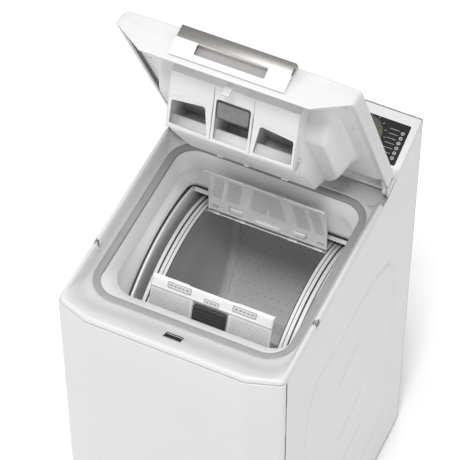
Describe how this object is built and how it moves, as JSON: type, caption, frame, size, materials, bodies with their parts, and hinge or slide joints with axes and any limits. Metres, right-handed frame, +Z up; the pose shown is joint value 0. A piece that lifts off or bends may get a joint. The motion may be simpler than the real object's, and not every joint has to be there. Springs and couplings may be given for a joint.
{
  "type": "top load washing machine",
  "caption": "Narrow top-loading washing machine with a hinged lid, under-lid dispenser, dished throat and a horizontal drum with two door flaps.",
  "frame": {"origin": "middle of the cabinet's footprint, on the floor", "axes": "+X to the machine's right as seen from the front, +Y to the rear, +Z up; the front faces -Y"},
  "size_m": [0.4, 0.584, 1.2802],
  "materials": {
    "painted_steel": "smooth white enamel",
    "galvanised_steel": "zinc coated sheet",
    "white_plastic": "satin moulded",
    "liner_plastic": "satin moulded",
    "throat_plastic": "satin moulded",
    "handle_plastic": "satin moulded",
    "brushed_trim": "brushed along its length",
    "grey_seal": "matte",
    "black_rubber": "matte",
    "belt_rubber": "ribbed",
    "foot_plastic": "matte",
    "grey_plastic": "matte moulded",
    "black_gloss": "polished",
    "knob_plastic": "satin",
    "circuit_board": "lacquered",
    "smoky_plastic": "translucent",
    "tub_plastic": "moulded",
    "drum_steel": "polished sheet",
    "flap_steel": "embossed and perforated",
    "button_plastic": "matte",
    "machined_steel": "machined",
    "dark_metal": "black paint",
    "cast_alloy": "cast",
    "concrete": "rough cast"
  },
  "bodies": {
    "cabinet": {"base_frame": "galvanised_steel", "left_side_panel": "painted_steel", "right_side_panel": "painted_steel", "front_panel": "painted_steel", "rear_panel": "galvanised_steel", "kick_plate": "white_plastic", "top_frame": "white_plastic", "throat_bowl": "throat_plastic", "opening_seal": "grey_seal", "lid_lock": "grey_plastic", "console_housing": "white_plastic", "display_panel": "black_gloss", "control_board": "circuit_board", "drain_pump": "grey_plastic", "rear_feet": "foot_plastic", "suspension_springs": "dark_metal", "damper_cylinders": "dark_metal", "sump_hose": "black_rubber", "drain_hose": "black_rubber", "drain_spigot": "grey_plastic", "inlet_valve": "grey_plastic", "mains_inlet": "grey_plastic", "pressure_switch": "grey_plastic", "pressure_tube": "black_rubber", "tub_bellows": "black_rubber", "cabinet_screws": "machined_steel"},
    "lid": {"lid_shell": "white_plastic", "lid_liner": "liner_plastic", "lid_hinge_pins": "machined_steel", "handle_bracket": "handle_plastic", "handle_trim": "brushed_trim", "latch_hook": "liner_plastic", "dispenser_housing": "liner_plastic"},
    "shutter": {"dispenser_flap": "smoky_plastic"},
    "knob": {"programme_knob": "knob_plastic"},
    "filter_door": {"filter_door": "white_plastic"},
    "filter_cap": {"pump_filter_cap": "grey_plastic"},
    "impeller": {"pump_impeller": "grey_plastic"},
    "left_foot": {"front_left_foot": "foot_plastic"},
    "right_foot": {"front_right_foot": "foot_plastic"},
    "tub": {"tub_left": "tub_plastic", "tub_right": "tub_plastic", "tub_seals": "black_rubber", "tub_screws": "machined_steel", "drum_bearings": "machined_steel", "heater": "machined_steel", "counterweight": "concrete", "motor_housing": "dark_metal", "drive_belt": "belt_rubber", "damper_rods": "machined_steel"},
    "drum": {"drum_shell": "drum_steel", "drum_ends": "drum_steel", "drum_shafts": "machined_steel", "drum_lifters": "drum_steel", "drum_pulley": "cast_alloy", "flap_hinge_rods": "machined_steel"},
    "motor": {"motor_rotor": "machined_steel"},
    "front_flap": {"front_flap": "flap_steel"},
    "button": {"flap_button": "button_plastic"},
    "rear_flap": {"rear_flap": "flap_steel"}
  },
  "joints": [
    {"name": "lid_hinge", "type": "hinge", "parent": "cabinet", "child": "lid", "pos_m": [0, 0.1564, 0.8503], "axis": [1, 0, 0], "range_deg": [0, 65.8]},
    {"name": "shutter_hinge", "type": "hinge", "parent": "lid", "child": "shutter", "pos_m": [0, -0.02845, 1.15212], "axis": [1, 0, 0], "range_deg": [0, 50]},
    {"name": "programme_turn", "type": "hinge", "parent": "cabinet", "child": "knob", "pos_m": [0.118, 0.237, 0.87267], "axis": [0, -0.3005, 0.9538], "continuous": true},
    {"name": "filter_door_hinge", "type": "hinge", "parent": "cabinet", "child": "filter_door", "pos_m": [0, -0.2896, 0.0241], "axis": [1, 0, 0], "range_deg": [0, 90]},
    {"name": "filter_cap_turn", "type": "hinge", "parent": "cabinet", "child": "filter_cap", "pos_m": [-0.085, -0.276, 0.058], "axis": [0, 1, 0], "range_deg": [0, 90]},
    {"name": "impeller_spin", "type": "hinge", "parent": "cabinet", "child": "impeller", "pos_m": [-0.085, -0.15, 0.058], "axis": [1, 0, 0], "continuous": true},
    {"name": "left_foot_adjust", "type": "slide", "parent": "cabinet", "child": "left_foot", "axis": [0, 0, -1], "range_m": [0, 0.008]},
    {"name": "right_foot_adjust", "type": "slide", "parent": "cabinet", "child": "right_foot", "axis": [0, 0, -1], "range_m": [0, 0.008]},
    {"name": "tub_bounce", "type": "slide", "parent": "cabinet", "child": "tub", "axis": [0, 0, 1], "range_m": [-0.008, 0.006], "stiffness_N_per_m": 14000, "springref_m": 0.02892, "deforming": ["suspension_springs", "tub_bellows", "sump_hose", "pressure_tube"]},
    {"name": "drum_spin", "type": "hinge", "parent": "tub", "child": "drum", "pos_m": [0, 0.023, 0.478], "axis": [1, 0, 0], "range_deg": [-2, 4]},
    {"name": "motor_spin", "type": "hinge", "parent": "tub", "child": "motor", "pos_m": [0, 0.132, 0.146], "axis": [1, 0, 0], "range_deg": [-24, 47]},
    {"name": "front_flap_hinge", "type": "hinge", "parent": "drum", "child": "front_flap", "pos_m": [0, -0.13384, 0.64678], "axis": [-1, 0, 0], "range_deg": [0, 49.55], "stiffness_Nm_per_rad": 0.35, "springref_deg": -34.38},
    {"name": "rear_flap_hinge", "type": "hinge", "parent": "drum", "child": "rear_flap", "pos_m": [0, 0.10142, 0.69464], "axis": [1, 0, 0], "range_deg": [0, 79.05], "stiffness_Nm_per_rad": 0.3, "springref_deg": -28.65},
    {"name": "flap_button_press", "type": "slide", "parent": "front_flap", "child": "button", "axis": [0, 0.9576, -0.2881], "range_m": [0, 0.004], "stiffness_N_per_m": 500, "springref_m": -0.002}
  ],
  "couplings": [
    {"joint": "motor_spin", "follows": "drum_spin", "ratio": 11.667}
  ]
}
